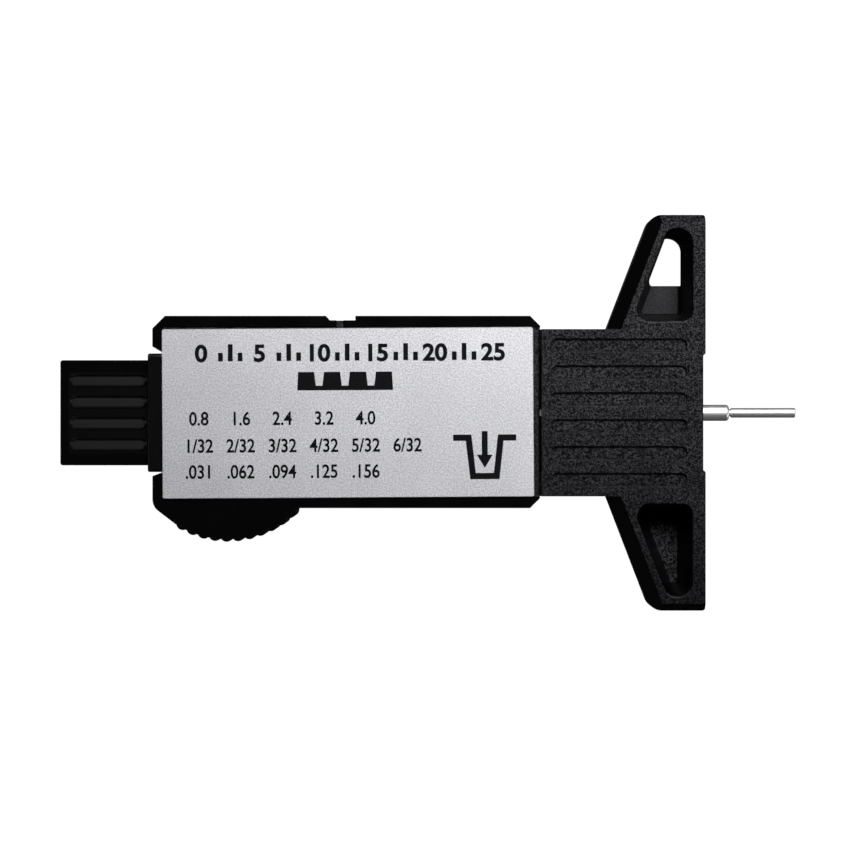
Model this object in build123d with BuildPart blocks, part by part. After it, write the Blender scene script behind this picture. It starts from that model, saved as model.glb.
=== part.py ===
from build123d import *

import math
import os

# Tire tread depth gauge with a digital display, shown with its needle part of the way out.
# Millimetres. +X is the way the needle comes out, +Y runs along the T-shaped foot, and +Z goes
# from the display side, on which the gauge lies at z = 0, up to the label side.

os.makedirs("parts", exist_ok=True)

# ---- Measuring travel ---------------------------------------------------------------------
FOOT_FACE = 42.4                      # x of the two lands that stand on the tread blocks
NEEDLE_OUT = 14.1                     # how far the needle stands out of the lands here
TRAVEL = 25.4                         # full depth range
TRAVEL_LEFT = TRAVEL - NEEDLE_OUT     # what is left before the slider meets its stop
TIP_X = FOOT_FACE + NEEDLE_OUT
TAIL_X = -56.2
STOP_GAP = 0.16                       # spare length past each end of the travel

# ---- Levels -------------------------------------------------------------------------------
PANEL_Z = 0.6                         # display panel, sunk behind its raised rim
FLOOR_Z = 2.1                         # inside floor of the front housing
TEE_BOTTOM = 3.9
TEE_TOP = 13.6
BOARD_Z = 6.6
BOARD_THICK = 1.0
BOARD_TOP = BOARD_Z + BOARD_THICK
BEAM_BOTTOM = 7.9
BEAM_TOP = 11.9
PROBE_Z = (BEAM_BOTTOM + BEAM_TOP) / 2
CHANNEL_BOTTOM = 7.7
COVER_BOTTOM = 12.1
COVER_TOP = 13.8
RIM_TOP = 13.5
LABEL_THICK = 0.3

# ---- Housing ------------------------------------------------------------------------------
HOUSING_LEFT = -41.95
HOUSING_RIGHT = 17.2
HALF_WIDTH = 14.55                    # centre to the outside of the lower long wall
UPPER_WIDTH = 14.78                   # and of the upper one, which also holds the battery cover
INNER_HALF = 13.05                    # inside faces of the long walls
END_WALL_X = -40.5                    # outer face of the end wall behind the tail guide
COLLAR_LEFT = -42.7                   # the tail guide's collar, held by two pegs
COLLAR_HALF = 9.05
PEG_ROWS, PEG_Z, PEG_R = (-5.0, 5.0), 4.6, 0.8
CAVITY_LEFT = -39.1
CAVITY_RIGHT = 15.7
RIGHT_CORNER = 1.55
EDGE = 0.18                           # small edge rounds and chamfers on the mouldings
SPLIT_X = -12.8                       # where the housing's own top wall starts
SPLIT_GAP = 1.1                       # slit between battery cover and housing
BAND_RIGHT = SPLIT_X - SPLIT_GAP      # right end of the battery cover's band
NOTCH_RIGHT = -11.0                   # the top wall is notched between the slit and here
NOTCH_Y = 14.1
GRIP_X = -30.5                        # centre of the round thumb grip
GRIP_Y = -4.6
GRIP_R = 14.72
RIDGE_R = 1.0
RIDGE_COUNT = 11
RIDGE_PITCH = 7.1                     # degrees
RIDGE_FIRST = -119.1                  # degrees

# ---- Foot and stem ------------------------------------------------------------------------
FOOT_HALF_SPAN = 30.25
FOOT_RECESS = 0.36
LAND_INNER = 8.7
STEM_HALF = 12.75
STEM_INSIDE = 15.8                    # the stem's end inside the housing
STEM_VISIBLE = 17.4
WING_ROOT = 27.5
WING_TIP = 34.23
TIP_RADIUS = 2.3
RAIL_LEFT = -3.0
RAIL_OUTER = 12.7
CHANNEL_HALF = 8.25
EAR_CHANNEL_HALF = 9.2
WING_BEVEL = 1.9                      # width of the band along a wing's slanted edge
WING_BEVEL_DROP = 2.9
END_BEVEL = 1.15                      # width of the band along a wing's end
END_BEVEL_DROP = 1.3
UPPER_POCKET = (8.0, 1.3)             # depth and width of the sloping wall
LOWER_POCKET = (7.5, 1.7)
POCKET_FLOOR_RADIUS = 0.5
POCKET_RIM = 0.35                     # rounding of the pockets' upper edges
GROOVE_DEPTH = 0.5
GROOVE_RIM = 0.12                     # rounding of the stem grooves' edges
STEM_GROOVE = (18.8, 39.6, 2.05)      # the ends' x and the width
TAIL_GROOVE = (-54.85, -42.9, 2.1)

# ---- Slider -------------------------------------------------------------------------------
BEAM_HALF = 8.05
BEAM_END = 22.8
EAR_LENGTH = 2.0
EAR_HALF = 9.0
HOLDER_R = 1.25
HOLDER_START = 15.0
HOLDER_END = 46.3
NEEDLE_R = 0.75
NEEDLE_SHOULDER = 46.55               # where the needle's full thickness starts
TANG_R = 0.55                         # thinner end pressed into the holder
TANG_START = 39.0
PIN_X = 17.6
PIN_R = 0.6
CHANNEL_END = BEAM_END + TRAVEL_LEFT + STOP_GAP
EAR_STEP = BEAM_END - EAR_LENGTH - NEEDLE_OUT - STOP_GAP

# ---- Inside -------------------------------------------------------------------------------
BOARD_LEFT, BOARD_RIGHT = -38.9, 15.55
BOARD_LOW_Y, BOARD_HIGH_Y = -12.6, 12.2
PANEL_LEFT, PANEL_RIGHT = -14.5, 14.6  # display glass
PANEL_LOW_Y, PANEL_HIGH_Y = -5.2, 8.7
PANEL_TOP = 3.75
FRAME_WALL = 0.6
STRIP_X0, STRIP_X1, STRIP_HALF, STRIP_THICK = -34.0, 14.0, 5.5, 0.4
SPRING_X, SPRING_HALF = -18.0, 6.0     # friction spring
CHIP_X, CHIP_Y, CHIP_SIDE = -19.0, -6.0, 5.2
CRYSTAL_X, CRYSTAL_Y, CRYSTAL_R = -20.1, 0.5, 1.0
LEAF_X = -24.7                         # where the battery's spring leaf turns down
LEAF_HALF = 1.4
SIDE_CONTACT_HALF = 1.6
SHEET = 0.2                            # thickness of the leaf springs

# ---- Battery, display and buttons ---------------------------------------------------------
CELL_X, CELL_Y, CELL_R = -31.4, 5.0, 5.8
CELL_BOTTOM, CELL_TOP = 1.6, 7.0
PLATE_THICK = 1.4                     # battery cover under the cell
PLATE_RIGHT = -20.5
PLATE_LOW_Y = -3.0
SLIDE_GAP = 0.1                       # running gap round the battery cover
LENS_SIZE, LENS_THICK, LENS_Y = (29.2, 14.6), 1.0, 1.8
BUTTONS = {"power_button": -12.0, "zero_button": -3.5, "unit_button": 5.0}
BUTTON_Y = -9.6
BUTTON_R = 2.6
BUTTON_TRAVEL = 0.4
SCREWS = [(-24.5, 10.6), (-36.5, -11.0), (13.6, 10.9), (13.6, -10.9)]
SCREW_R = 0.9


def block(x0, x1, y0, y1, z0, z1, mode=Mode.ADD):
    """Add or cut a box given by its limits along each axis."""
    with Locations(((x0 + x1) / 2, (y0 + y1) / 2, (z0 + z1) / 2)):
        Box(x1 - x0, y1 - y0, z1 - z0, mode=mode)


def post(x, y, radius, z0, z1, mode=Mode.ADD):
    """Add or cut an upright cylinder between two levels."""
    with Locations((x, y, (z0 + z1) / 2)):
        Cylinder(radius, z1 - z0, mode=mode)


def rod(x0, x1, y, z, radius, mode=Mode.ADD):
    """Add or cut a cylinder that lies along X."""
    with Locations(Location(((x0 + x1) / 2, y, z), (0, 90, 0))):
        Cylinder(radius, x1 - x0, mode=mode)


def grooves(top, bottom, x0, x1, width, count, pitch, draft):
    """Cut a set of round-ended grooves into the upper and the lower face of a slab."""
    upper_face = Plane.XY.offset(top)
    lower_face = Plane(origin=(0, 0, bottom), x_dir=(1, 0, 0), z_dir=(0, 0, -1))
    for plane in (upper_face, lower_face):
        with BuildSketch(plane) as slots:
            for i in range(count):
                with Locations(((x0 + x1) / 2, pitch * (i - (count - 1) / 2))):
                    SlotOverall(x1 - x0, width)
        extrude(slots.sketch, amount=-GROOVE_DEPTH, taper=draft, mode=Mode.SUBTRACT)


def finish(name, solid_or_part):
    """Label a finished piece and write its STEP file."""
    solid_or_part.label = name
    export_step(solid_or_part, f"parts/{name}.step")


# ===== Foot and stem: one textured moulding ================================================
def edge_bevel(first, second, side, face, width, drop):
    """Cut a sloping band along one edge of a wing; face is 1 on its upper face and -1 below."""
    beyond = 5.0
    along = Vector(*second) - Vector(*first)
    inward = Vector(side * along.Y, -side * along.X).normalized()
    middle = (Vector(*first) + Vector(*second)) / 2
    middle += Vector(0, 0, TEE_TOP if face == 1 else TEE_BOTTOM)
    square_to_edge = Plane(origin=middle, x_dir=inward, z_dir=inward.cross(Vector(0, 0, face)))
    with BuildSketch(square_to_edge) as wedge:
        with BuildLine():
            Polyline(
                (width, 0),
                (width, 1),
                (-beyond, 1),
                (-beyond, -drop * (width + beyond) / width),
                close=True,
            )
        make_face()
    extrude(wedge.sketch, amount=along.length / 2 + beyond, both=True, mode=Mode.SUBTRACT)


POCKET = [(40.4, 14.0), (40.4, 28.0), (36.6, 28.0), (31.15, 14.0)]
POCKET_RADII = [1.6, 2.3, 2.1, 1.8]
HOLE = [(39.4, 19.7), (39.4, 27.1), (36.5, 27.1), (33.75, 19.7)]
HOLE_RADII = [0.05, 2.1, 1.0, 0.6]


def rounded_outline(corners, radii, side, level=TEE_TOP, inset=0.0):
    """A closed outline with its own radius at each corner, drawn inset from its corner points."""
    with BuildSketch(Plane.XY.offset(level)) as outline:
        with BuildLine():
            Polyline([(x, side * y) for x, y in corners], close=True)
        make_face()
        if inset:
            offset(amount=-inset, kind=Kind.INTERSECTION)
        for (x, y), radius in zip(corners, radii):
            fillet(outline.vertices().sort_by_distance((x, side * y, level))[0], radius)
    return outline.sketch


def face_edges(solid, level, x0, x1, y0, y1):
    """Edges that lie in a horizontal plane, with their middles inside a rectangle."""
    flat = solid.edges().filter_by_position(Axis.Z, level - 0.01, level + 0.01)
    return flat.filter_by_position(Axis.X, x0, x1).filter_by_position(Axis.Y, y0, y1)


with BuildPart() as tee_base:
    with BuildSketch(Plane.XY.offset(TEE_BOTTOM)) as foot:
        with BuildLine():
            half = [
                (FOOT_FACE - FOOT_RECESS, LAND_INNER),
                (FOOT_FACE, LAND_INNER + FOOT_RECESS),
                (FOOT_FACE, FOOT_HALF_SPAN),
                (WING_TIP, FOOT_HALF_SPAN),
                (WING_ROOT, STEM_HALF),
            ]
            Polyline(half + [(x, -y) for x, y in reversed(half)], close=True)
        make_face()
        for side in (1, -1):
            for x, y, radius in (
                (WING_TIP, FOOT_HALF_SPAN, TIP_RADIUS),
                (FOOT_FACE, FOOT_HALF_SPAN, 0.4),
                (FOOT_FACE, LAND_INNER + FOOT_RECESS, 0.3),
            ):
                fillet(foot.vertices().sort_by_distance((x, side * y, 0))[0], radius)
    extrude(amount=TEE_TOP - TEE_BOTTOM)

    # Drafted pockets in both wings; the upper one is pierced for a lanyard.
    for side, (depth, wall) in ((1, UPPER_POCKET), (-1, LOWER_POCKET)):
        rim = rounded_outline(POCKET, POCKET_RADII, side)
        floor = rounded_outline(POCKET, [POCKET_FLOOR_RADIUS] * 4, side, TEE_TOP - depth, wall)
        loft([rim, floor], ruled=True, mode=Mode.SUBTRACT)
        low, high = sorted((side * 13.5, side * 28.5))
        fillet(face_edges(tee_base, TEE_TOP, 31.5, 40.6, low, high), POCKET_RIM)
    hole = rounded_outline(HOLE, HOLE_RADII, 1)
    extrude(hole, amount=TEE_BOTTOM - TEE_TOP - 1, mode=Mode.SUBTRACT)

    # Sloping bands round the wings, cut before the stem so that they stop at its sides.
    for side in (1, -1):
        root = (WING_ROOT, side * STEM_HALF)
        tip = (WING_TIP, side * FOOT_HALF_SPAN)
        corner = (FOOT_FACE, side * FOOT_HALF_SPAN)
        edge_bevel(root, tip, side, 1, WING_BEVEL, WING_BEVEL_DROP)
        edge_bevel(root, tip, side, -1, WING_BEVEL / 2, WING_BEVEL_DROP / 2)
        edge_bevel(tip, corner, side, 1, END_BEVEL, END_BEVEL_DROP)
        edge_bevel(tip, corner, side, -1, END_BEVEL / 2, END_BEVEL_DROP / 2)

    # Stem, with finger grooves on both faces.
    block(STEM_INSIDE, WING_ROOT + 4, -STEM_HALF, STEM_HALF, TEE_BOTTOM, TEE_TOP)
    grooves(TEE_TOP, TEE_BOTTOM, *STEM_GROOVE, count=6, pitch=4.1, draft=12)
    for level in (TEE_TOP, TEE_BOTTOM):
        fillet(face_edges(tee_base, level, 18.0, 40.0, -12.0, 12.0), GROOVE_RIM)

    # The stem is stepped down where the rear cover lies over it.
    block(STEM_INSIDE, STEM_VISIBLE, -STEM_HALF, STEM_HALF, COVER_BOTTOM - 0.05, TEE_TOP, Mode.SUBTRACT)

    # Side rails that reach into the housing on each side of the slider.
    for side in (1, -1):
        edges = sorted((side * CHANNEL_HALF, side * RAIL_OUTER))
        block(RAIL_LEFT, STEM_INSIDE, *edges, BOARD_TOP + 0.05, COVER_BOTTOM - 0.05)

    # The slider's channel, wide enough for its ears past the step, and the probe's bore.
    block(EAR_STEP, CHANNEL_END, -EAR_CHANNEL_HALF, EAR_CHANNEL_HALF,
          CHANNEL_BOTTOM, COVER_BOTTOM, Mode.SUBTRACT)
    rod(CHANNEL_END - 1, FOOT_FACE + 1, 0, PROBE_Z, HOLDER_R + 0.05, Mode.SUBTRACT)
    for x, y in SCREWS[2:]:
        post(x, y, SCREW_R + 0.15, TEE_BOTTOM, TEE_TOP, Mode.SUBTRACT)
finish("tee_base", tee_base.part)


# ===== Front housing: the smooth tub with the display face =================================
GRIP_START = math.radians(-123)       # where the grip's arc takes over from the shoulder
GRIP_IN = (GRIP_X + GRIP_R * math.cos(GRIP_START), GRIP_Y + GRIP_R * math.sin(GRIP_START))
GRIP_OUT = (GRIP_X + math.sqrt(GRIP_R**2 - (HALF_WIDTH + GRIP_Y) ** 2), -HALF_WIDTH)

with BuildPart() as front_housing:
    with BuildSketch() as plan:
        with BuildLine():
            ThreePointArc(GRIP_IN, (GRIP_X, GRIP_Y - GRIP_R), GRIP_OUT)
            Polyline(
                GRIP_OUT,
                (HOUSING_RIGHT - RIGHT_CORNER, -HALF_WIDTH),
                (HOUSING_RIGHT, RIGHT_CORNER - HALF_WIDTH),
                (HOUSING_RIGHT, UPPER_WIDTH - RIGHT_CORNER),
                (HOUSING_RIGHT - RIGHT_CORNER, UPPER_WIDTH),
                (NOTCH_RIGHT, UPPER_WIDTH),
                (NOTCH_RIGHT, NOTCH_Y),
                (SPLIT_X, NOTCH_Y),
                (SPLIT_X, INNER_HALF),
                (END_WALL_X, INNER_HALF),
                (END_WALL_X, -9.1),
                (HOUSING_LEFT, -9.65),
                (HOUSING_LEFT, -14.31),
                GRIP_IN,
            )
        make_face()
        fillet(plan.vertices().sort_by_distance((HOUSING_LEFT, -14.31, 0))[0], 2.2)
        fillet(plan.vertices().sort_by_distance((*GRIP_OUT, 0))[0], 0.6)
    extrude(amount=RIM_TOP)
    chamfer(front_housing.faces().sort_by(Axis.Z)[-1].outer_wire().edges(), EDGE)
    chamfer(front_housing.faces().sort_by(Axis.Z)[0].outer_wire().edges(), EDGE)

    # Round ridges on the thumb grip.
    for i in range(RIDGE_COUNT):
        angle = math.radians(RIDGE_FIRST + RIDGE_PITCH * i)
        ridge_x = GRIP_X + (GRIP_R - 0.6) * math.cos(angle)
        ridge_y = GRIP_Y + (GRIP_R - 0.6) * math.sin(angle)
        post(ridge_x, ridge_y, RIDGE_R, 1.1, RIM_TOP - 0.9)

    # Inside: main cavity, the grip's core, the stem's mouth and the seat of the rear cover.
    block(CAVITY_LEFT, CAVITY_RIGHT, -INNER_HALF, 12.3, FLOOR_Z, RIM_TOP, Mode.SUBTRACT)
    block(SPLIT_X + 1.5, CAVITY_RIGHT, 0, INNER_HALF, FLOOR_Z, RIM_TOP, Mode.SUBTRACT)
    with BuildSketch(Plane.XY.offset(FLOOR_Z)):
        with Locations((GRIP_X, GRIP_Y)):
            Circle(GRIP_R - 1.6)
        with Locations((GRIP_X, -17.0)):
            Rectangle(17.0, 8.0, mode=Mode.INTERSECT)
    extrude(amount=RIM_TOP - FLOOR_Z - 1.6, mode=Mode.SUBTRACT)
    block(CAVITY_RIGHT - 1, HOUSING_RIGHT + 1, -STEM_HALF - 0.1, STEM_HALF + 0.1,
          TEE_BOTTOM - 0.05, RIM_TOP + 1, Mode.SUBTRACT)
    block(END_WALL_X + 0.05, HOUSING_RIGHT + 1, -INNER_HALF, INNER_HALF,
          COVER_BOTTOM - 0.05, RIM_TOP + 1, Mode.SUBTRACT)
    block(END_WALL_X - 1, CAVITY_LEFT + 1, -8.2, 8.2, CHANNEL_BOTTOM, RIM_TOP + 1, Mode.SUBTRACT)
    for y in PEG_ROWS:
        rod(END_WALL_X - 0.1, CAVITY_LEFT - 0.2, y, PEG_Z, PEG_R + 0.02, Mode.SUBTRACT)

    # Display face: sunk panel, lens seat, window and button holes.
    with BuildSketch():
        with Locations((-1.5, 0)):
            RectangleRounded(34.4, 26.0, 1.4)
    extrude(amount=PANEL_Z, mode=Mode.SUBTRACT)
    with BuildSketch(Plane.XY.offset(PANEL_Z)):
        with Locations((0, LENS_Y)):
            RectangleRounded(LENS_SIZE[0] + 0.2, LENS_SIZE[1] + 0.2, 1.2)
    extrude(amount=0.75, mode=Mode.SUBTRACT)
    with BuildSketch():
        with Locations((0, 1.9)):
            RectangleRounded(25.6, 11.0, 0.6)
    extrude(amount=FLOOR_Z, mode=Mode.SUBTRACT)
    for x in BUTTONS.values():
        post(x, BUTTON_Y, BUTTON_R + 0.15, 0, FLOOR_Z, Mode.SUBTRACT)

    # Seat, slots and opening for the battery cover.
    block(END_WALL_X - 2, PLATE_RIGHT + SLIDE_GAP, PLATE_LOW_Y - SLIDE_GAP, INNER_HALF + 1,
          -1, PLATE_THICK + SLIDE_GAP, Mode.SUBTRACT)
    block(END_WALL_X - 2, -21.8, PLATE_LOW_Y - 0.7, PLATE_LOW_Y, 0.45, 1.05, Mode.SUBTRACT)
    block(END_WALL_X - 1, -17.8, 12.65, INNER_HALF + 1, 5.9, 6.9, Mode.SUBTRACT)

    # Battery wall, with its opening and the slot for the side contact.
    post(CELL_X, CELL_Y, CELL_R + 1.0, FLOOR_Z, 5.9)
    post(CELL_X, CELL_Y, CELL_R + 0.2, 0, RIM_TOP, Mode.SUBTRACT)
    block(CELL_X - 1.9, CELL_X + 1.9, CELL_Y - CELL_R - 2, CELL_Y - CELL_R + 0.5,
          FLOOR_Z, 6.0, Mode.SUBTRACT)

    # Screw bosses under the circuit board.
    for x, y in SCREWS:
        post(x, y, 1.45, FLOOR_Z, BOARD_Z)
        post(x, y, SCREW_R, 3.2, BOARD_Z, Mode.SUBTRACT)
finish("front_housing", front_housing.part)


# ===== Rear cover: textured plate over the slider, under the label =========================
with BuildPart() as rear_cover:
    block(-40.4, 17.1, -12.98, 12.98, COVER_BOTTOM, COVER_TOP)
    chamfer(rear_cover.faces().sort_by(Axis.Z)[-1].edges(), 0.2)
    for side in (1, -1):
        edges = sorted((side * CHANNEL_HALF, side * (CHANNEL_HALF + 1.2)))
        block(-38.9, RAIL_LEFT - 0.3, *edges, BOARD_TOP + 0.1, COVER_BOTTOM)
    for x, y in SCREWS[:2]:
        post(x, y, 1.6, BOARD_TOP, COVER_BOTTOM)
    # Locating lug that fills the slit between battery cover and housing.
    lug_x = (BAND_RIGHT + 0.05, SPLIT_X - 0.05)
    block(*lug_x, 12.9, NOTCH_Y - 0.05, COVER_BOTTOM, RIM_TOP - 0.1)
    block(*lug_x, INNER_HALF + 0.05, NOTCH_Y - 0.05, COVER_BOTTOM - 6, COVER_BOTTOM)
    for x, y in SCREWS:
        post(x, y, SCREW_R + 0.15, BOARD_TOP, COVER_TOP, Mode.SUBTRACT)
        post(x, y, 1.75, COVER_TOP - 1.2, COVER_TOP, Mode.SUBTRACT)
    # Pocket for the friction spring in the lower rib.
    block(SPRING_X - SPRING_HALF - 0.3, SPRING_X + SPRING_HALF + 0.3, -9.05, -CHANNEL_HALF,
          BOARD_TOP + 0.8, COVER_BOTTOM - 0.6, Mode.SUBTRACT)
finish("rear_cover", rear_cover.part)


# ===== Label plate: thin aluminium, stuck on a touch out of square ==========================
LABEL_TURN = 0.35                     # degrees
with BuildPart() as label_plate:
    with BuildSketch(Plane.XY.offset(COVER_TOP)):
        with Locations(Location((-12.12, -0.02, 0), (0, 0, LABEL_TURN))):
            RectangleRounded(56.55, 25.85, 0.35)
    extrude(amount=LABEL_THICK)
    chamfer(label_plate.faces().sort_by(Axis.Z)[-1].edges(), 0.08)
finish("label_plate", label_plate.part)


# ===== Tail guide: the collar round the slider where it leaves the housing ==================
with BuildPart() as tail_guide:
    block(COLLAR_LEFT, END_WALL_X - 0.05, -COLLAR_HALF, COLLAR_HALF, 1.7, 13.3)
    fillet(tail_guide.edges().filter_by(Axis.X), 0.5)
    fillet(tail_guide.faces().sort_by(Axis.X)[0].edges(), 0.3)
    block(COLLAR_LEFT - 1, END_WALL_X, -BEAM_HALF - 0.1, BEAM_HALF + 0.1,
          CHANNEL_BOTTOM + 0.05, COVER_BOTTOM - 0.05, Mode.SUBTRACT)
    for y in PEG_ROWS:
        rod(END_WALL_X - 0.2, CAVITY_LEFT - 0.3, y, PEG_Z, PEG_R)
finish("tail_guide", tail_guide.part)


# ===== Slider: grooved beam with its scale, probe holder, needle and pin ====================
with BuildPart() as slide_beam:
    block(TAIL_X, BEAM_END, -BEAM_HALF, BEAM_HALF, BEAM_BOTTOM, BEAM_TOP)
    fillet(slide_beam.faces().sort_by(Axis.X)[0].edges().filter_by(Axis.Z), 0.4)
    chamfer(slide_beam.faces().sort_by(Axis.Z)[-1].edges(), 0.2)
    chamfer(slide_beam.faces().sort_by(Axis.Z)[0].edges(), 0.2)
    block(BEAM_END - EAR_LENGTH, BEAM_END, -EAR_HALF, EAR_HALF, BEAM_BOTTOM, BEAM_TOP)
    block(STRIP_X0, STRIP_X1, -STRIP_HALF, STRIP_HALF, BEAM_BOTTOM, BEAM_BOTTOM + STRIP_THICK, Mode.SUBTRACT)
    rod(HOLDER_START, BEAM_END, 0, PROBE_Z, HOLDER_R, Mode.SUBTRACT)
    post(PIN_X, 0, PIN_R, PROBE_Z - 1.0, BEAM_TOP, Mode.SUBTRACT)
    grooves(BEAM_TOP, BEAM_BOTTOM, *TAIL_GROOVE, count=4, pitch=3.26, draft=40)
finish("slide_beam", slide_beam.part)

with BuildPart() as scale_strip:
    block(STRIP_X0 + 0.05, STRIP_X1 - 0.05, -STRIP_HALF + 0.05, STRIP_HALF - 0.05,
          BEAM_BOTTOM, BEAM_BOTTOM + STRIP_THICK)
finish("scale_strip", scale_strip.part)

with BuildPart() as probe_holder:
    rod(HOLDER_START, HOLDER_END, 0, PROBE_Z, HOLDER_R)
    fillet(probe_holder.faces().sort_by(Axis.X)[-1].edges(), 0.5)
    rod(TANG_START, HOLDER_END, 0, PROBE_Z, TANG_R, Mode.SUBTRACT)
    post(PIN_X, 0, PIN_R, PROBE_Z - 1.0, BEAM_TOP, Mode.SUBTRACT)
finish("probe_holder", probe_holder.part)

with BuildPart() as probe_needle:
    rod(TANG_START, NEEDLE_SHOULDER, 0, PROBE_Z, TANG_R)
    rod(NEEDLE_SHOULDER, TIP_X, 0, PROBE_Z, NEEDLE_R)
    ends = probe_needle.faces().filter_by(Axis.X)
    chamfer(ends.sort_by(Axis.X)[-1].edges() + ends.sort_by(Axis.X)[-2].outer_wire().edges(), 0.12)
finish("probe_needle", probe_needle.part)

with BuildPart() as probe_pin:
    post(PIN_X, 0, PIN_R, PROBE_Z - 1.0, BEAM_TOP - 0.1)
finish("probe_pin", probe_pin.part)


# ===== Friction spring: a bowed leaf that steadies the slider ===============================
with BuildPart() as friction_spring:
    with BuildSketch(Plane.XY.offset(8.7)):
        with BuildLine():
            left, right = SPRING_X - SPRING_HALF, SPRING_X + SPRING_HALF
            ThreePointArc((left, -9.0), (SPRING_X, -8.12 - SHEET), (right, -9.0))
            Line((right, -9.0), (right, SHEET - 9.0))
            ThreePointArc((right, SHEET - 9.0), (SPRING_X, -8.12), (left, SHEET - 9.0))
            Line((left, SHEET - 9.0), (left, -9.0))
        make_face()
    extrude(amount=2.4)
finish("friction_spring", friction_spring.part)


# ===== Battery cover: slides off to the left, with the edge band beside the cell ============
BAND_IN = INNER_HALF + SLIDE_GAP

with BuildPart() as battery_cover:
    with BuildSketch() as band:
        with BuildLine():
            Polyline(
                (END_WALL_X - SLIDE_GAP, 9.3),
                (HOUSING_LEFT, 10.1),
                (HOUSING_LEFT, UPPER_WIDTH - 1.9),
                (HOUSING_LEFT + 1.9, UPPER_WIDTH),
                (-15.5, UPPER_WIDTH),
                (-14.95, NOTCH_Y),
                (BAND_RIGHT, NOTCH_Y),
                (BAND_RIGHT, BAND_IN),
                (END_WALL_X - SLIDE_GAP, BAND_IN),
                close=True,
            )
        make_face()
    extrude(amount=RIM_TOP)
    outer = battery_cover.edges().filter_by_position(Axis.Y, 13.4, 15.0)
    chamfer(outer.group_by(Axis.Z)[-1] + outer.group_by(Axis.Z)[0], EDGE)
    block(END_WALL_X - SLIDE_GAP, PLATE_RIGHT, PLATE_LOW_Y, BAND_IN + 0.2, 0, PLATE_THICK)
    block(-38.0, -22.0, PLATE_LOW_Y - 0.6, PLATE_LOW_Y, 0.55, 0.95)
    block(-38.0, -18.0, 12.75, BAND_IN + 0.2, 6.0, 6.8)
    # Finger grooves across the plate and an arrow that points the way it slides.
    for i in range(5):
        x = -37.3 + 1.3 * i
        block(x - 0.3, x + 0.3, -0.5, 10.5, 0, 0.35, Mode.SUBTRACT)
    with BuildSketch():
        with BuildLine():
            Polyline((-29.6, 5.0), (-26.2, 7.2), (-26.2, 2.8), close=True)
        make_face()
    extrude(amount=0.25, mode=Mode.SUBTRACT)
finish("battery_cover", battery_cover.part)


# ===== Battery cell and its contacts ========================================================
with BuildPart() as battery_cell:
    post(CELL_X, CELL_Y, CELL_R, CELL_BOTTOM, CELL_TOP - 0.5)
    fillet(battery_cell.edges(), 0.3)
    post(CELL_X, CELL_Y, CELL_R - 1.0, CELL_TOP - 0.6, CELL_TOP)
finish("battery_cell", battery_cell.part)

with BuildPart() as battery_spring:
    rows = (CELL_Y - LEAF_HALF, CELL_Y + LEAF_HALF)
    block(CELL_X - 2.2, LEAF_X, *rows, CELL_TOP, CELL_TOP + SHEET)
    block(LEAF_X - SHEET, LEAF_X, *rows, BOARD_Z - SHEET, CELL_TOP + SHEET)
    block(LEAF_X - SHEET, LEAF_X + 2.3, *rows, BOARD_Z - SHEET, BOARD_Z)
finish("battery_spring", battery_spring.part)

CONTACT_Y = CELL_Y - CELL_R
with BuildPart() as battery_contact:
    columns = (CELL_X - SIDE_CONTACT_HALF, CELL_X + SIDE_CONTACT_HALF)
    block(*columns, CONTACT_Y - 0.25, CONTACT_Y - 0.02, FLOOR_Z + SHEET, BOARD_Z)
    block(*columns, CONTACT_Y - 2.6, CONTACT_Y - 0.25, BOARD_Z - SHEET, BOARD_Z)
finish("battery_contact", battery_contact.part)


# ===== Electronics ===========================================================================
with BuildPart() as circuit_board:
    block(BOARD_LEFT, BOARD_RIGHT, BOARD_LOW_Y, BOARD_HIGH_Y, BOARD_Z, BOARD_TOP)
    post(CELL_X, CELL_Y, CELL_R + 0.4, BOARD_Z, BOARD_TOP, Mode.SUBTRACT)
    block(LEAF_X - 1.8, LEAF_X + 0.6, CELL_Y - LEAF_HALF - 0.3, CELL_Y + LEAF_HALF + 0.3,
          BOARD_Z, BOARD_TOP, Mode.SUBTRACT)
    for x, y in SCREWS:
        post(x, y, SCREW_R + 0.2, BOARD_Z, BOARD_TOP, Mode.SUBTRACT)
finish("circuit_board", circuit_board.part)

with BuildPart() as controller_chip:
    with Locations((CHIP_X, CHIP_Y, BOARD_Z - 0.5)):
        Box(CHIP_SIDE, CHIP_SIDE, 1.0)
    chamfer(controller_chip.faces().sort_by(Axis.Z)[0].edges(), 0.2)
finish("controller_chip", controller_chip.part)

with BuildPart() as clock_crystal:
    rod(CRYSTAL_X - 2.9, CRYSTAL_X + 2.9, CRYSTAL_Y, BOARD_Z - CRYSTAL_R - 0.02, CRYSTAL_R)
    fillet(clock_crystal.edges().filter_by(GeomType.CIRCLE), 0.25)
finish("clock_crystal", clock_crystal.part)

with BuildPart() as lcd_lens:
    with BuildSketch(Plane.XY.offset(0.35)):
        with Locations((0, LENS_Y)):
            RectangleRounded(*LENS_SIZE, 1.1)
    extrude(amount=LENS_THICK)
    chamfer(lcd_lens.faces().sort_by(Axis.Z)[0].edges(), 0.2)
finish("lcd_lens", lcd_lens.part)

with BuildPart() as lcd_panel:
    block(PANEL_LEFT, PANEL_RIGHT, PANEL_LOW_Y, PANEL_HIGH_Y, FLOOR_Z + 0.05, PANEL_TOP)
finish("lcd_panel", lcd_panel.part)

with BuildPart() as lcd_frame:
    inside = (PANEL_LEFT - 0.1, PANEL_RIGHT + 0.1, PANEL_LOW_Y - 0.1, PANEL_HIGH_Y + 0.1)
    outside = [limit + way * FRAME_WALL for limit, way in zip(inside, (-1, 1, -1, 1))]
    block(*outside, FLOOR_Z + 0.05, BOARD_Z - 0.05)
    block(*inside, FLOOR_Z, BOARD_Z, Mode.SUBTRACT)
finish("lcd_frame", lcd_frame.part)

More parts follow.
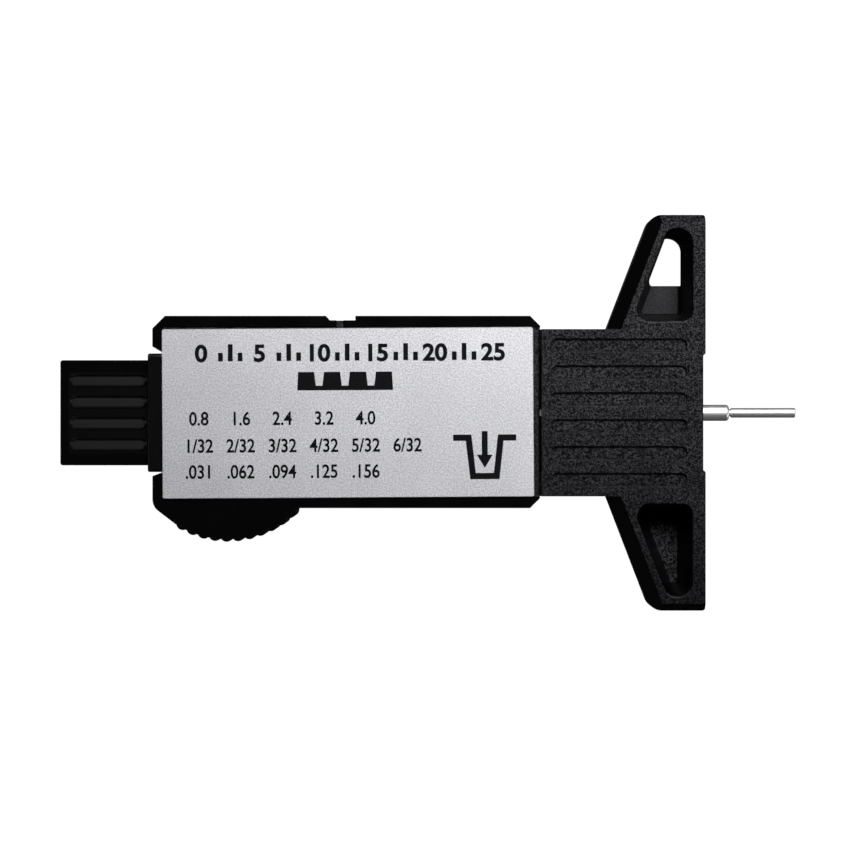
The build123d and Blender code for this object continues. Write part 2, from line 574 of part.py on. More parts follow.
with BuildPart() as zebra_strips:
    for y in (PANEL_LOW_Y + 1.0, PANEL_HIGH_Y - 1.0):
        block(-13.0, 13.0, y - 0.9, y + 0.9, PANEL_TOP, BOARD_Z)
finish("zebra_strips", zebra_strips.part)


# ===== Buttons and the snap domes under them =================================================
for name, x in BUTTONS.items():
    with BuildPart() as button:
        post(x, BUTTON_Y, BUTTON_R, 0.2, FLOOR_Z + 0.2)
        fillet(button.faces().sort_by(Axis.Z)[0].edges(), 0.35)
        post(x, BUTTON_Y, BUTTON_R + 0.55, FLOOR_Z + 0.05, FLOOR_Z + 0.6)
        post(x, BUTTON_Y, 1.0, FLOOR_Z, BOARD_Z - 0.5 - BUTTON_TRAVEL)
    finish(name, button.part)

with BuildPart() as button_domes:
    for x in BUTTONS.values():
        with Locations((x, BUTTON_Y, BOARD_Z - 0.2)):
            Cone(1.0, 2.4, 0.4)
        with Locations((x, BUTTON_Y, BOARD_Z - 0.13)):
            Cone(0.9, 2.15, 0.26, mode=Mode.SUBTRACT)
finish("button_domes", button_domes.part)


# ===== Housing screws ========================================================================
with BuildPart() as housing_screws:
    for x, y in SCREWS:
        post(x, y, SCREW_R, 3.4, COVER_TOP - 1.1)
        post(x, y, 1.6, COVER_TOP - 1.2, COVER_TOP - 0.05)
        block(x - 1.1, x + 1.1, y - 0.2, y + 0.2, COVER_TOP - 0.6, COVER_TOP, Mode.SUBTRACT)
        block(x - 0.2, x + 0.2, y - 1.1, y + 1.1, COVER_TOP - 0.6, COVER_TOP, Mode.SUBTRACT)
finish("housing_screws", housing_screws.part)
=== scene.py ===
import math

import bmesh
import bpy
from mathutils import Matrix, Vector


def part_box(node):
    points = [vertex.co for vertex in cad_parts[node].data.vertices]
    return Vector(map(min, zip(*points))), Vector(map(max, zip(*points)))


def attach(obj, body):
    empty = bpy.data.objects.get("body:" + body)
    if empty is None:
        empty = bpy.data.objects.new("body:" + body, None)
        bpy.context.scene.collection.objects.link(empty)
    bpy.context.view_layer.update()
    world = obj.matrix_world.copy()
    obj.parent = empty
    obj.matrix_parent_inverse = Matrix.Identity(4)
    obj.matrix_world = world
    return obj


# Looks of the tire tread depth gauge. It lies on its display side, label up, needle along +X.
# Everything is in metres; MM turns millimetres into them.
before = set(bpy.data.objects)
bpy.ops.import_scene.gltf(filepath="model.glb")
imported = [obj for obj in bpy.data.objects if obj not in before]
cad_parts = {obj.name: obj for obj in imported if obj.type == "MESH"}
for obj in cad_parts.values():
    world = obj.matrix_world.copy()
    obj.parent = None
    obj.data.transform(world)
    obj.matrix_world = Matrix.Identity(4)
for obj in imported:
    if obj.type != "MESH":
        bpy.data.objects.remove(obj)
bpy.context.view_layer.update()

MM = 0.001
scene = bpy.context.scene

# Regions of the pieces that are finished differently, in millimetres.
UPPER_POCKET_FLOOR = {"Y": (13.5, 30.0), "Z": (4.5, 5.8)}
UPPER_POCKET_PAD = {"X": (32.0, 38.8), "Y": (15.4, 19.8)}
LOWER_POCKET_FLOOR = {"Y": (-30.0, -13.5), "Z": (4.0, 6.5)}
TAIL_PANEL = {"X": (-54.9, -42.8), "Y": (-6.2, 6.2), "Z": (7.0, 13.0)}
TAIL_GROOVES = {"Z": (8.15, 11.65)}
# The pockets span these X and |Y|. Along their sloping walls X - WING_SLANT * |Y| is even.
POCKETS_X = {"X": (30.0, 41.4)}
POCKETS_ACROSS = (13.9, 28.4)
WING_SLANT = 0.39
PAD_SLANT, POCKET_SLANT = 27.0, 24.0
SHADE_FULL_Y, SHADE_END_Y = -26.0, 2.0       # Y where the painted shade on the lower wing is full and where it ends
SHADE_SPARED = 0.9                         # how much of the painted shade the lower pocket's floor is spared
DRAFT_LEANING_TO_LAMP = (0, 0.35, 0.94)               # the grained faces look about this way, or away from it; it leans to +Y, towards the key lamp, which partly paints light by facing
WALL_TILT = 0.25                      # a wall's normal rises less than this


# ===== Short calls for node trees ===========================================================
class Finish:
    """One procedural material around a Principled shader; inputs take sockets or plain values."""

    def __init__(self, name, **inputs):
        self.material = bpy.data.materials.new(name)
        self.material.use_nodes = True
        self.tree = self.material.node_tree
        self.tree.nodes.clear()
        self.shader = self.node("BsdfPrincipled")
        output = self.node("OutputMaterial")
        self.plug(output.inputs["Surface"], self.shader.outputs["BSDF"])
        coordinates = self.node("TexCoord")
        self.place = coordinates.outputs["Object"]
        self.normal = coordinates.outputs["Normal"]
        self.set(**inputs)

    def plug(self, socket, value):
        if isinstance(value, bpy.types.NodeSocket):
            self.tree.links.new(value, socket)
        else:
            socket.default_value = value

    def node(self, kind, inputs=None, **settings):
        made = self.tree.nodes.new("ShaderNode" + kind)
        for name, value in settings.items():
            setattr(made, name, value)
        for name, value in (inputs or {}).items():
            self.plug(made.inputs[name], value)
        return made

    def set(self, **inputs):
        for name, value in inputs.items():
            self.plug(self.shader.inputs[name.replace("_", " ")], value)

    def math(self, operation, *values):
        made = self.node("Math", operation=operation)
        for socket, value in zip(made.inputs, values):
            self.plug(socket, value)
        return made.outputs[0]

    def noise(self, size, detail=2.0, roughness=0.5, place=None, distortion=0.0):
        """Noise whose grains are about size metres across."""
        inputs = {"Vector": place or self.place, "Scale": 1 / size, "Detail": detail,
                  "Roughness": roughness, "Distortion": distortion}
        return self.node("TexNoise", inputs).outputs["Fac"]

    def stretched(self, x, y, z):
        """Object coordinates scaled along each axis."""
        inputs = {"Vector": self.place, "Scale": (x, y, z)}
        return self.node("Mapping", inputs).outputs["Vector"]

    def axis(self, name):
        return self.node("SeparateXYZ", {"Vector": self.place}).outputs[name]

    def spread(self, value, low, high, to_low=0.0, to_high=1.0):
        """Map low..high to to_low..to_high, clamped."""
        inputs = {"Value": value, "From Min": low, "From Max": high,
                  "To Min": to_low, "To Max": to_high}
        return self.node("MapRange", inputs).outputs["Result"]

    def blend(self, factor, first, second):
        """Mix of two numbers."""
        made = self.node("Mix")
        for socket, value in zip(made.inputs, (factor, None, first, second)):
            if value is not None:
                self.plug(socket, value)
        return made.outputs["Result"]

    def both(self, first, second):
        return self.math("MULTIPLY", first, second)

    def opposite(self, mask):
        return self.math("SUBTRACT", 1.0, mask)

    def between(self, value, low, high):
        """1 where a length lies between two limits in millimetres, and 0 elsewhere."""
        above = self.math("GREATER_THAN", value, low * MM)
        below = self.math("LESS_THAN", value, high * MM)
        return self.both(above, below)

    def inside(self, limits):
        """1 within the limits given in millimetres for some axes, and 0 outside them."""
        mask = 1.0
        for name, (low, high) in limits.items():
            mask = self.both(mask, self.between(self.axis(name), low, high))
        return mask

    def upright(self):
        """1 on walls, and 0 on faces that look up or down."""
        level = self.node("SeparateXYZ", {"Vector": self.normal}).outputs["Z"]
        return self.math("LESS_THAN", self.math("ABSOLUTE", level), WALL_TILT)

    def tint(self, factor, first, second):
        """Mix of two colours."""
        made = self.node("Mix", data_type="RGBA")
        self.plug(made.inputs["Factor"], factor)
        for socket, colour in ((made.inputs[6], first), (made.inputs[7], second)):
            self.plug(socket, colour if isinstance(colour, bpy.types.NodeSocket) else (*colour, 1))
        return made.outputs[2]

    def relief(self, height, depth, strength=1.0, under=None):
        """Bump of the given depth in metres, over another bump if one is given."""
        inputs = {"Height": height, "Distance": depth, "Strength": strength}
        if under is not None:
            inputs["Normal"] = under
        return self.node("Bump", inputs).outputs["Normal"]


def lit(level):
    """A neutral grey of the given linear level."""
    return (level, level, level)


# ===== Finishes ==============================================================================
def spark_eroded_plastic(name):
    """Black moulding with a spark-eroded grain that catches the light in specks."""
    f = Finish(name)
    # The steep walls and bands came smooth and dark out of the mould; the faces across the draft
    # carry the grain.
    # The draft leans to +Y, towards the key lamp, so faces turned to the lamp count as grained and
    # get its pale colour, and faces turned away turn smooth and dark sooner: painted light and
    # shade by facing. So the band at the end of the upper wing carries the grain.
    facing = f.node("VectorMath", {0: f.normal, 1: DRAFT_LEANING_TO_LAMP}, operation="DOT_PRODUCT")
    grained = f.spread(f.math("ABSOLUTE", facing.outputs["Value"]), 0.70, 0.86)
    # The floor of the pierced pocket is a paler pad with a finer, more even grain. Round the pad
    # the floor gets the smooth near-black colour: painted shade of the gap between pad and walls.
    across = f.math("ABSOLUTE", f.axis("Y"))
    slant = f.math("MULTIPLY_ADD", across, -WING_SLANT, f.axis("X"))
    on_floor = f.inside(UPPER_POCKET_FLOOR)
    on_pad = f.both(f.math("GREATER_THAN", slant, PAD_SLANT * MM), f.inside(UPPER_POCKET_PAD))
    # Painted shade: the floor round the pad loses its grain and turns near black.
    painted_shade_rim = f.both(on_floor, f.opposite(on_pad))
    grained = f.both(grained, f.opposite(painted_shade_rim))
    worms = f.noise(0.33 * MM, detail=2, roughness=0.65, distortion=0.8)
    specks = f.noise(0.20 * MM, detail=1, roughness=0.5)
    height = f.math("ADD", f.math("MULTIPLY", worms, 0.6), f.math("MULTIPLY", specks, 0.4))
    patches = f.noise(6 * MM, detail=3)
    light = f.spread(height, 0.47, 0.575)
    light = f.blend(on_floor, light, f.spread(height, 0.1, 0.75))
    patches = f.spread(patches, 0.3, 0.7)
    lit_grain = f.tint(patches, (0.040, 0.039, 0.045), (0.056, 0.055, 0.062))
    # Painted shade: the lower wing darkens towards -Y, where the light falls off, but the floor of
    # its pocket is mostly spared.
    unshaded = f.spread(f.axis("Y"), SHADE_FULL_Y * MM, SHADE_END_Y * MM)
    floor_spared = f.both(f.inside(LOWER_POCKET_FLOOR), SHADE_SPARED)
    unshaded = f.math("MAXIMUM", unshaded, floor_spared)
    # The darker colour here is painted shade, full at the lower wing's end.
    lit_grain = f.tint(unshaded, (0.016, 0.016, 0.019), lit_grain)
    grain_colour = f.tint(light, (0.0004, 0.0004, 0.0006), lit_grain)
    smooth_colour = f.tint(light, (0.0003, 0.0003, 0.0004), (0.0014, 0.0014, 0.0017))
    # The upright outer walls, away from the pockets, are painted paler: painted light on the
    # sides.
    pocket = f.both(f.math("GREATER_THAN", slant, POCKET_SLANT * MM), f.inside(POCKETS_X))
    pocket = f.both(pocket, f.between(across, *POCKETS_ACROSS))
    outer = f.both(f.upright(), f.opposite(pocket))
    # Painted light: a paler colour for the upright walls.
    painted_side_light = f.tint(light, (0.008, 0.008, 0.009), (0.030, 0.030, 0.033))
    smooth_colour = f.tint(outer, smooth_colour, painted_side_light)
    f.set(
        Base_Color=f.tint(grained, smooth_colour, grain_colour),
        Roughness=f.blend(grained, 0.32, 0.36),
        Specular_IOR_Level=0.08,
        Normal=f.relief(height, 0.05 * MM, strength=f.blend(grained, 0.3, 1.0)),
    )
    return f.material


def glossy_plastic(name):
    """Smooth black moulding, with the faint waviness and handling marks of a polished mould."""
    f = Finish(name)
    wave = f.noise(2.4 * MM, detail=2)
    fine = f.noise(0.22 * MM, detail=3, roughness=0.7)
    haze = f.noise(5 * MM, detail=4, roughness=0.6)
    # The slider's grooved panel is duller than the flats round it.
    panel = f.inside(TAIL_PANEL)
    floors = f.both(panel, f.inside(TAIL_GROOVES))
    rough = f.spread(haze, 0.3, 0.7, 0.13, 0.18)
    rough = f.blend(panel, rough, 0.22)
    # The upright outer walls are duller than the polished rims, and painted paler: painted light
    # on the sides.
    walls = f.both(f.upright(), f.opposite(panel))
    rough = f.blend(walls, rough, 0.34)
    polished = f.tint(haze, (0.0003, 0.0003, 0.0004), (0.0010, 0.0010, 0.0013))
    # Painted light: a paler colour for the upright walls.
    painted_side_light = f.tint(haze, (0.009, 0.009, 0.010), (0.020, 0.020, 0.022))
    f.set(
        Base_Color=f.tint(walls, polished, painted_side_light),
        Roughness=f.blend(floors, rough, 0.37),
        Normal=f.relief(fine, 0.005 * MM, under=f.relief(wave, 0.015 * MM)),
    )
    return f.material


def matt_plastic(name):
    """Dull black moulding of the tail guide."""
    f = Finish(name)
    grain = f.noise(0.3 * MM, detail=3, roughness=0.6)
    f.set(
        Base_Color=f.tint(grain, (0.0012, 0.0012, 0.0015), (0.0032, 0.0032, 0.0038)),
        Roughness=f.spread(grain, 0.3, 0.7, 0.17, 0.22),
        Normal=f.relief(grain, 0.012 * MM),
    )
    return f.material


def satin_aluminium(name):
    """Bead-blasted label: every grain mirrors the light a little differently."""
    f = Finish(name, Metallic=1.0)
    grain = f.noise(0.22 * MM, detail=2, roughness=0.7)
    cloud = f.noise(9 * MM, detail=2)
    f.set(
        Base_Color=f.tint(f.spread(grain, 0.36, 0.64), (0.53, 0.53, 0.565), (0.88, 0.88, 0.91)),
        Roughness=f.spread(cloud, 0.3, 0.7, 0.44, 0.47),
        Normal=f.relief(grain, 0.012 * MM),
    )
    return f.material


def label_ink(name):
    """Screen-printed black that lets the blasted grain show faintly."""
    f = Finish(name)
    grain = f.noise(0.26 * MM, detail=2, roughness=0.6)
    f.set(
        Base_Color=f.tint(grain, (0.0015, 0.0015, 0.0025), (0.005, 0.005, 0.007)),
        Roughness=f.spread(grain, 0.3, 0.7, 0.20, 0.25),
        Normal=f.relief(grain, 0.006 * MM),
    )
    return f.material


def turned_steel(name):
    """Satin steel with fine marks round its axis."""
    f = Finish(name, Metallic=1.0)
    rings = f.noise(0.05 * MM, detail=2, place=f.stretched(1.0, 0.04, 0.04))
    cloud = f.noise(1.6 * MM, detail=2)
    f.set(
        Base_Color=f.tint(cloud, (0.72, 0.72, 0.74), (0.84, 0.84, 0.86)),
        Roughness=f.spread(rings, 0.3, 0.7, 0.46, 0.54),
        Normal=f.relief(rings, 0.002 * MM),
    )
    return f.material


def clear_acrylic(name):
    """Display window with hairline scratches."""
    f = Finish(name, Transmission_Weight=1.0, IOR=1.49)
    hairs = f.noise(0.12 * MM, detail=1, place=f.stretched(0.08, 1.0, 1.0))
    f.set(
        Base_Color=f.tint(hairs, (0.93, 0.95, 0.95), (0.97, 0.98, 0.98)),
        Roughness=f.spread(hairs, 0.55, 0.8, 0.02, 0.09),
    )
    return f.material


def liquid_crystal(name):
    """Grey-green reflective display glass."""
    f = Finish(name)
    cloud = f.noise(3 * MM, detail=3)
    grain = f.noise(0.06 * MM, detail=1)
    f.set(
        Base_Color=f.tint(cloud, (0.33, 0.36, 0.29), (0.37, 0.40, 0.33)),
        Roughness=f.spread(grain, 0.3, 0.7, 0.30, 0.40),
        Normal=f.relief(grain, 0.001 * MM),
    )
    return f.material


def plain_plastic(name, dark, light, roughness, grain_size=0.3):
    """Moulded plastic or rubber with a fine grain."""
    f = Finish(name)
    grain = f.noise(grain_size * MM, detail=3, roughness=0.6)
    f.set(
        Base_Color=f.tint(grain, dark, light),
        Roughness=f.spread(grain, 0.3, 0.7, roughness - 0.05, roughness + 0.05),
        Normal=f.relief(grain, 0.02 * MM),
    )
    return f.material


def solder_mask(name):
    """Green board with copper tracks under the lacquer."""
    f = Finish(name)
    tracks = f.node("TexBrick", {
        "Vector": f.place, "Scale": 1.0, "Mortar Size": 0.12 * MM, "Mortar Smooth": 0.1,
        "Brick Width": 2.6 * MM, "Row Height": 0.9 * MM,
    })
    weave = f.noise(0.5 * MM, detail=2)
    mask = f.tint(weave, (0.012, 0.075, 0.030), (0.018, 0.10, 0.042))
    f.set(
        Base_Color=f.tint(tracks.outputs["Fac"], mask, (0.05, 0.22, 0.09)),
        Roughness=f.spread(weave, 0.3, 0.7, 0.22, 0.32),
        Normal=f.relief(tracks.outputs["Fac"], 0.03 * MM),
    )
    return f.material


def striped(name, first, second, pitch, roughness, metallic=0.0):
    """Stripes across X, as on the scale strip and the connector rubber."""
    f = Finish(name, Metallic=metallic)
    wave = f.math("SINE", f.math("MULTIPLY", f.axis("X"), 2 * math.pi / (pitch * MM)))
    grain = f.noise(0.2 * MM, detail=2)
    f.set(
        Base_Color=f.tint(f.spread(wave, -0.15, 0.15), first, second),
        Roughness=f.spread(grain, 0.3, 0.7, roughness - 0.05, roughness + 0.05),
        Normal=f.relief(grain, 0.004 * MM),
    )
    return f.material


def bright_metal(name, dark, light, roughness, marks):
    """Rolled or plated metal with drawn marks along X."""
    f = Finish(name, Metallic=1.0)
    drawn = f.noise(0.08 * MM, detail=3, place=f.stretched(*marks))
    stain = f.noise(2.5 * MM, detail=3)
    f.set(
        Base_Color=f.tint(stain, dark, light),
        Roughness=f.spread(drawn, 0.3, 0.7, roughness - 0.06, roughness + 0.06),
        Normal=f.relief(drawn, 0.003 * MM),
    )
    return f.material


FINISHES = {
    "textured_black": spark_eroded_plastic("textured_black_moulding"),
    "smooth_black": glossy_plastic("smooth_black_moulding"),
    "matte_black": matt_plastic("matt_black_moulding"),
    "label_aluminium": satin_aluminium("blasted_aluminium"),
    "probe_steel": turned_steel("ground_steel"),
    "lens_clear": clear_acrylic("clear_acrylic"),
    "lcd_glass": liquid_crystal("display_glass"),
    "frame_grey": plain_plastic("display_frame_plastic", lit(0.18), lit(0.24), 0.5),
    "board_green": solder_mask("solder_mask"),
    "chip_black": plain_plastic("chip_epoxy", lit(0.010), lit(0.020), 0.6, 0.12),
    "crystal_steel": bright_metal("crystal_can", lit(0.62), lit(0.72), 0.22, (0.05, 1, 1)),
    "contact_brass": bright_metal(
        "plated_brass", (0.62, 0.44, 0.18), (0.74, 0.55, 0.25), 0.30, (0.05, 1, 1)),
    "cell_steel": bright_metal("nickel_plate", lit(0.60), lit(0.70), 0.26, (1, 0.1, 1)),
    "zebra_rubber": striped("connector_rubber", lit(0.012), (0.45, 0.43, 0.40), 0.36, 0.55),
    "scale_film": striped(
        "scale_film", (0.02, 0.12, 0.05), (0.55, 0.40, 0.16), 0.636, 0.30, metallic=0.3),
    "button_blue": plain_plastic(
        "blue_key_rubber", (0.010, 0.060, 0.22), (0.014, 0.078, 0.27), 0.42),
    "button_orange": plain_plastic(
        "orange_key_rubber", (0.52, 0.085, 0.010), (0.60, 0.11, 0.014), 0.42),
    "button_grey": plain_plastic("grey_key_rubber", lit(0.20), lit(0.25), 0.42),
    "screw_steel": bright_metal("zinc_plated_steel", lit(0.50), lit(0.62), 0.30, (1, 1, 0.05)),
}


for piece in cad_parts.values():
    slot_name = piece.material_slots[0].material.name
    piece.data.materials[0] = FINISHES[slot_name]


# ===== Printed marks =========================================================================
class Print:
    """Thin ink or inlay marks, drawn in millimetres on a plane and made into one piece."""

    def __init__(self, thick):
        self.drawing = bmesh.new()
        self.thick = thick

    def shape(self, outline):
        """Upright prism on a closed outline."""
        low = [self.drawing.verts.new((x, y, 0)) for x, y in outline]
        high = [self.drawing.verts.new((x, y, self.thick)) for x, y in outline]
        self.drawing.faces.new(high)
        self.drawing.faces.new(low[::-1])
        for i in range(len(low)):
            self.drawing.faces.new((low[i - 1], low[i], high[i], high[i - 1]))

    def bar(self, x0, x1, y0, y1):
        self.shape([(x0, y0), (x1, y0), (x1, y1), (x0, y1)])

    def ribbon(self, points, width, closed=False):
        """Stroke of even width along a line of points, mitred at the corners."""
        points = [Vector(point) for point in points]
        sides = ([], [])
        for i, point in enumerate(points):
            before = points[i - 1] if i or closed else None
            after = points[(i + 1) % len(points)] if i < len(points) - 1 or closed else None
            runs = [(point - before).normalized()] if before is not None else []
            runs += [(after - point).normalized()] if after is not None else []
            along = sum(runs, Vector((0, 0))).normalized()
            square = Vector((-along.y, along.x))
            reach = width / 2 / max(0.3, abs(along.dot(runs[0])))
            sides[0].append(point + square * reach)
            sides[1].append(point - square * reach)
        if not closed:
            self.shape(sides[1] + sides[0][::-1])
            return
        corners = (sides[0], 0), (sides[1], 0), (sides[1], self.thick), (sides[0], self.thick)
        rings = [[self.drawing.verts.new((*spot, z)) for spot in side] for side, z in corners]
        for k in range(4):
            ring, other = rings[k - 1], rings[k]
            for i in range(len(points)):
                self.drawing.faces.new((ring[i - 1], ring[i], other[i], other[i - 1]))

    def numerals(self, text, x, baseline, height, stretch=1.0, bold=0.0):
        """Plain numerals of the built-in font, centred on x and so many millimetres tall."""
        line = bpy.data.curves.new("numerals", "FONT")
        line.body = text
        line.align_x = "CENTER"
        line.offset = bold
        line.extrude = 0.5
        carrier = bpy.data.objects.new("numerals", line)
        mesh = bpy.data.meshes.new_from_object(carrier)
        size = height / NUMERAL_TALL
        mesh.transform(
            Matrix.Translation((x, baseline, 0))
            @ Matrix.Diagonal((size * stretch, size, self.thick, 1))
            @ Matrix.Translation((0, 0, 0.5))
        )
        self.drawing.from_mesh(mesh)
        bpy.data.objects.remove(carrier)
        bpy.data.curves.remove(line)
        bpy.data.meshes.remove(mesh)

    def place(self, name, at, body, finish):
        """Turn the drawing into a piece that lies at the given matrix and rides on a body."""
        bmesh.ops.remove_doubles(self.drawing, verts=self.drawing.verts, dist=WELD)
        bmesh.ops.recalc_face_normals(self.drawing, faces=self.drawing.faces)
        mesh = bpy.data.meshes.new(name)
        self.drawing.to_mesh(mesh)
        self.drawing.free()
        mesh.transform(at @ Matrix.Scale(MM, 4))
        mesh.materials.append(finish)
        piece = bpy.data.objects.new(name, mesh)
        scene.collection.objects.link(piece)
        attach(piece, body)


def arc(x, y, radius, first, last, steps=24, tall=1.0):
    """Points along an arc; angles in degrees, tall stretches it along Y."""
    angles = [math.radians(first + (last - first) * i / steps) for i in range(steps + 1)]
    return [(x + radius * math.cos(a), y + radius * tall * math.sin(a)) for a in angles]


NUMERAL_TALL = 0.73                   # height of the built-in font's numerals at size 1
INK = 0.03                            # thickness of printed marks, half of it sunk in
WELD = 0.0005                         # points of a drawing closer than this are one
LABEL_TURN = math.radians(0.35)

# Layout of the label, in millimetres from its middle.
SCALE_LEFT, SCALE_STEP, SCALE_LINE = -22.3, 8.9, 7.95
SCALE_TALL, TICK_SHORT = 2.6, 1.3
TICK_GAP, TICK_HALF = 1.5, 0.36
TREAD_LEFT, TREAD_LOW, TREAD_FLOOR, TREAD_TOP = -7.7, 3.45, 4.15, 6.25
BLOCK_WIDE, GROOVE_WIDE = 2.75, 1.2
BLOCK_DRAFT, GROOVE_DRAFT = 0.15, 0.1
TABLE_LEFT, TABLE_STEP, TABLE_TALL = -22.7, 6.35, 2.1
TABLE_LINES = (-1.75, -5.9, -9.85)    # millimetres, thirty-seconds and thousandths of an inch
PIN_GROOVE = [
    (16.0, -3.9), (18.35, -3.9), (19.0, -9.75), (22.6, -9.75), (23.25, -3.9), (25.6, -3.9),
]
PIN_GROOVE_WIDE = 0.95
PIN_SHANK = (20.35, 21.25, -6.6, -2.9)
PIN_POINT = [(20.8, -8.5), (22.0, -6.5), (19.6, -6.5)]

# The reading on the display: the size of a digit, and the segments that each one lights.
READING = "14.10"
SEGMENTS = {"0": "abcdef", "1": "bc", "4": "fgbc"}
DIGIT_TALL, DIGIT_WIDE, DIGIT_STEP = 7.0, 3.9, 5.5
DIGIT_LEFT, DIGIT_LOW = -9.8, -1.6
STROKE, STROKE_GAP = 0.85, 0.09
POINT_BEFORE, POINT_WIDE, POINT_LOW = 1.1, 0.6, -0.4


def label_print():
    """Depth scale, tread section, conversion table and a pin in a groove."""
    drawing = Print(INK)
    # Bold scale: numerals every five millimetres of depth, with ticks between them.
    for i in range(6):
        x = SCALE_LEFT + SCALE_STEP * i
        drawing.numerals(str(5 * i), x, SCALE_LINE, SCALE_TALL, stretch=1.05, bold=0.035)
        if i < 5:
            for k, tall in ((-1, TICK_SHORT), (0, SCALE_TALL), (1, TICK_SHORT)):
                tick = x + SCALE_STEP / 2 + TICK_GAP * k
                drawing.bar(tick - TICK_HALF, tick + TICK_HALF, SCALE_LINE, SCALE_LINE + tall)
    # Section through a tread: blocks and grooves on a solid base.
    section = [(TREAD_LEFT, TREAD_LOW)]
    for i in range(4):
        left = TREAD_LEFT + i * (BLOCK_WIDE + GROOVE_WIDE)
        right = left + BLOCK_WIDE
        section += [(left + BLOCK_DRAFT, TREAD_TOP), (right - BLOCK_DRAFT, TREAD_TOP)]
        if i < 3:
            after = right + GROOVE_WIDE
            section += [(right + GROOVE_DRAFT, TREAD_FLOOR), (after - GROOVE_DRAFT, TREAD_FLOOR)]
    section.append((right, TREAD_LOW))
    drawing.shape(section[::-1])
    # Conversion table of five columns, with a sixth in the middle row.
    for i in range(6):
        x = TABLE_LEFT + TABLE_STEP * i
        depths = (f"{0.8 * (i + 1):.1f}", f"{i + 1}/32", f".{round(1000 * (i + 1) / 32):03d}")
        for row in (1, 0, 2) if i < 5 else (1,):
            drawing.numerals(
                depths[row], x, TABLE_LINES[row], TABLE_TALL, stretch=0.86, bold=0.018)
    drawing.ribbon(PIN_GROOVE, PIN_GROOVE_WIDE)
    drawing.bar(*PIN_SHANK)
    drawing.shape(PIN_POINT)
    low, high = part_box("label_plate")
    middle = (Vector(low) + Vector(high)) / 2
    at = Matrix.Translation((middle.x, middle.y, high[2] - INK / 2 * MM))
    at @= Matrix.Rotation(LABEL_TURN, 4, "Z")
    drawing.place("label_print", at, "gauge_body", label_ink("screen_ink"))


def display_digits():
    """Seven-segment reading on the display glass, read from the display side."""
    tall, wide = DIGIT_TALL, DIGIT_WIDE
    ends = {
        "a": ((0, tall), (wide, tall)), "b": ((wide, tall), (wide, tall / 2)),
        "c": ((wide, tall / 2), (wide, 0)), "d": ((0, 0), (wide, 0)),
        "e": ((0, 0), (0, tall / 2)), "f": ((0, tall / 2), (0, tall)),
        "g": ((0, tall / 2), (wide, tall / 2)),
    }
    drawing = Print(INK)
    left = DIGIT_LEFT
    for digit in READING:
        if digit == ".":
            start = left - POINT_BEFORE
            drawing.bar(start, start + POINT_WIDE, POINT_LOW, POINT_LOW + POINT_WIDE)
            continue
        for name in SEGMENTS[digit]:
            first, last = (Vector(point) + Vector((left, 0)) for point in ends[name])
            along = (last - first).normalized()
            square = Vector((-along.y, along.x)) * STROKE / 2
            first, last = first + along * STROKE_GAP, last - along * STROKE_GAP
            inner = along * STROKE / 2
            drawing.shape([
                first, first + inner - square, last - inner - square,
                last, last - inner + square, first + inner + square,
            ])
        left += DIGIT_STEP
    panel_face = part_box("lcd_panel")[0][2]
    at = Matrix.Translation((0, DIGIT_LOW * MM, panel_face + INK / 2 * MM))
    at @= Matrix.Rotation(math.pi, 4, "Y")
    drawing.place("display_digits", at, "gauge_body", label_ink("display_ink"))


def key_symbols():
    """Power, zero and unit signs on the three keys."""
    signs = {name: Print(INK) for name in ("power_button", "zero_button", "unit_button")}
    signs["power_button"].ribbon(arc(0, 0, 1.15, 125, 415), 0.3)
    signs["power_button"].bar(-0.15, 0.15, 0.25, 1.55)
    signs["zero_button"].ribbon(arc(0, 0, 0.8, 0, 345, 23, tall=1.5), 0.34, closed=True)
    for way in (1, -1):
        level = 0.55 * way
        shaft = [(-1.25 * way, level), (0.5 * way, level)]
        head = [(1.35 * way, level), (0.45 * way, level + 0.5), (0.45 * way, level - 0.5)]
        signs["unit_button"].ribbon(shaft, 0.28)
        signs["unit_button"].shape(head)
    for name, drawing in signs.items():
        low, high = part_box(name)
        middle = (Vector(low) + Vector(high)) / 2
        at = Matrix.Translation((middle.x, middle.y, low[2] + INK / 2 * MM))
        at @= Matrix.Rotation(math.pi, 4, "Y")
        body = name.replace("button", "key")
        drawing.place(name.replace("button", "symbol"), at, body, key_paint(name + "_paint"))


def key_paint(name):
    """White pad print on the keys."""
    f = Finish(name)
    grain = f.noise(0.1 * MM, detail=2)
    f.set(
        Base_Color=f.tint(grain, lit(0.72), lit(0.80)),
        Roughness=f.spread(grain, 0.3, 0.7, 0.40, 0.50),
        Normal=f.relief(grain, 0.002 * MM),
    )
    return f.material


label_print()
display_digits()
key_symbols()


# ===== Floor, lights and camera ==============================================================
FLOOR_SIDE = 8.0                      # reaches the horizon of a low view
FLOOR_GAP = 0.02 * MM


def floor():
    """Plain white table; it glows for the camera, and sends only a little light back up."""
    mesh = bpy.data.meshes.new("floor")
    half = FLOOR_SIDE / 2
    corners = [(-half, -half, 0), (half, -half, 0), (half, half, 0), (-half, half, 0)]
    mesh.from_pydata(corners, [], [(0, 1, 2, 3)])
    piece = bpy.data.objects.new("floor", mesh)
    scene.collection.objects.link(piece)
    piece.location.z = -FLOOR_GAP
    finish = Finish("pale_table", Emission_Color=(1, 1, 1, 1), Roughness=0.9)
    paper = finish.noise(20 * MM, detail=3)
    seen = finish.node("LightPath").outputs["Is Camera Ray"]
    finish.set(
        Base_Color=finish.tint(paper, lit(0.045), lit(0.055)),
        Emission_Strength=seen,
    )
    mesh.materials.append(finish.material)


def softbox(name, place, size, power):
    """Rectangular area light aimed at the gauge."""
    lamp = bpy.data.lights.new(name, "AREA")
    lamp.shape = "RECTANGLE"
    lamp.size, lamp.size_y = size
    lamp.energy = power
    piece = bpy.data.objects.new(name, lamp)
    piece.location = place
    piece.rotation_euler = (-Vector(place)).to_track_quat("-Z", "Y").to_euler()
    scene.collection.objects.link(piece)


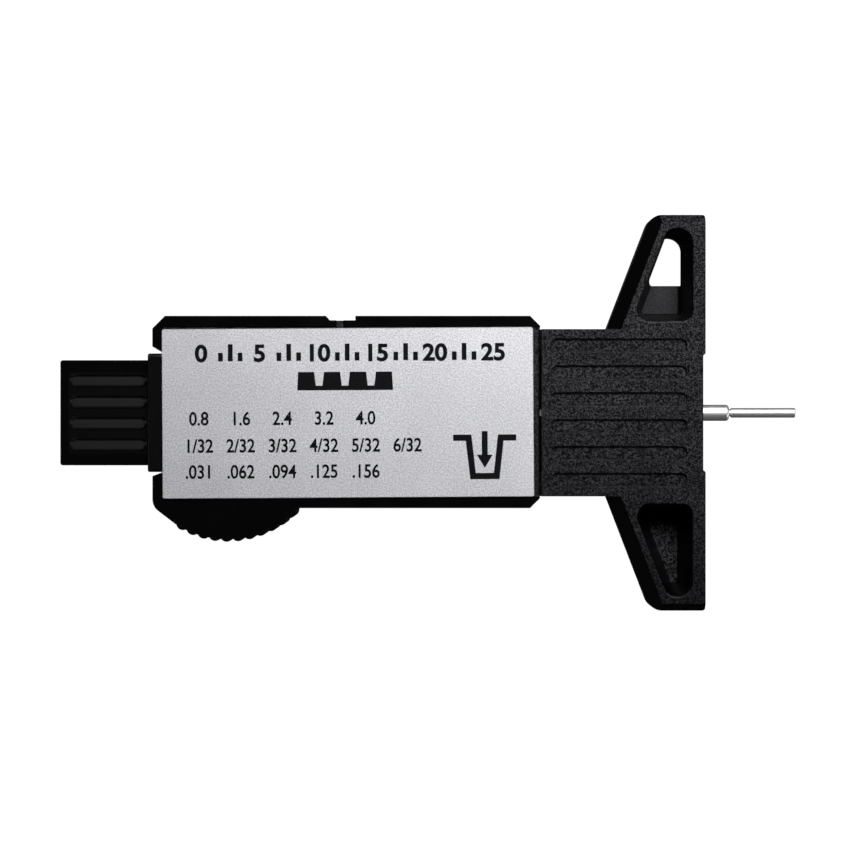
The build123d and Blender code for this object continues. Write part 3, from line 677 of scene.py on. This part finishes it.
def surroundings():
    """Dim studio: dark overhead, paler towards the horizon, and pale where the camera sees it."""
    world = bpy.data.worlds.new("studio")
    scene.world = world
    world.use_nodes = True
    tree = world.node_tree
    tree.nodes.clear()
    output = tree.nodes.new("ShaderNodeOutputWorld")
    seen = tree.nodes.new("ShaderNodeBackground")
    seen.inputs["Color"].default_value = (0.93, 0.94, 0.95, 1)
    room = tree.nodes.new("ShaderNodeBackground")
    room.inputs["Color"].default_value = (0.93, 0.95, 1.0, 1)
    direction = tree.nodes.new("ShaderNodeTexCoord")
    split = tree.nodes.new("ShaderNodeSeparateXYZ")
    height = tree.nodes.new("ShaderNodeMapRange")
    height.inputs["From Max"].default_value = 0.5
    height.inputs["To Min"].default_value = 0.08
    height.inputs["To Max"].default_value = 0.02
    path = tree.nodes.new("ShaderNodeLightPath")
    mix = tree.nodes.new("ShaderNodeMixShader")
    link = tree.links.new
    link(direction.outputs["Generated"], split.inputs["Vector"])
    link(split.outputs["Z"], height.inputs["Value"])
    link(height.outputs["Result"], room.inputs["Strength"])
    link(path.outputs["Is Camera Ray"], mix.inputs["Fac"])
    link(room.outputs["Background"], mix.inputs[1])
    link(seen.outputs["Background"], mix.inputs[2])
    link(mix.outputs["Shader"], output.inputs["Surface"])


CAMERA_ABOVE_LABEL = 435 * MM
CAMERA_X, CAMERA_Y = -0.38 * MM, -1.87 * MM
FIELD_AT_LABEL = 129.4 * MM           # width of the picture at the height of the label
SENSOR = 36.0


def camera():
    """Straight down on the label side, a little below and left of the gauge's middle."""
    label_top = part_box("label_plate")[1].z
    lens = bpy.data.cameras.new("camera")
    lens.sensor_width = SENSOR
    lens.lens = SENSOR * CAMERA_ABOVE_LABEL / FIELD_AT_LABEL
    lens.clip_start, lens.clip_end = 0.01, 50
    piece = bpy.data.objects.new("camera", lens)
    piece.location = (CAMERA_X, CAMERA_Y, label_top + CAMERA_ABOVE_LABEL)
    scene.collection.objects.link(piece)
    scene.camera = piece


floor()
softbox("key", (0.155, 0.370, 0.58), (0.34, 0.26), 5.8)
softbox("front_fill", (0.64, -0.24, 0.15), (0.24, 0.40), 1.4)
softbox("tail_fill", (-0.66, -0.18, 0.14), (0.24, 0.40), 0.6)
surroundings()
camera()
scene.view_settings.view_transform = "Standard"
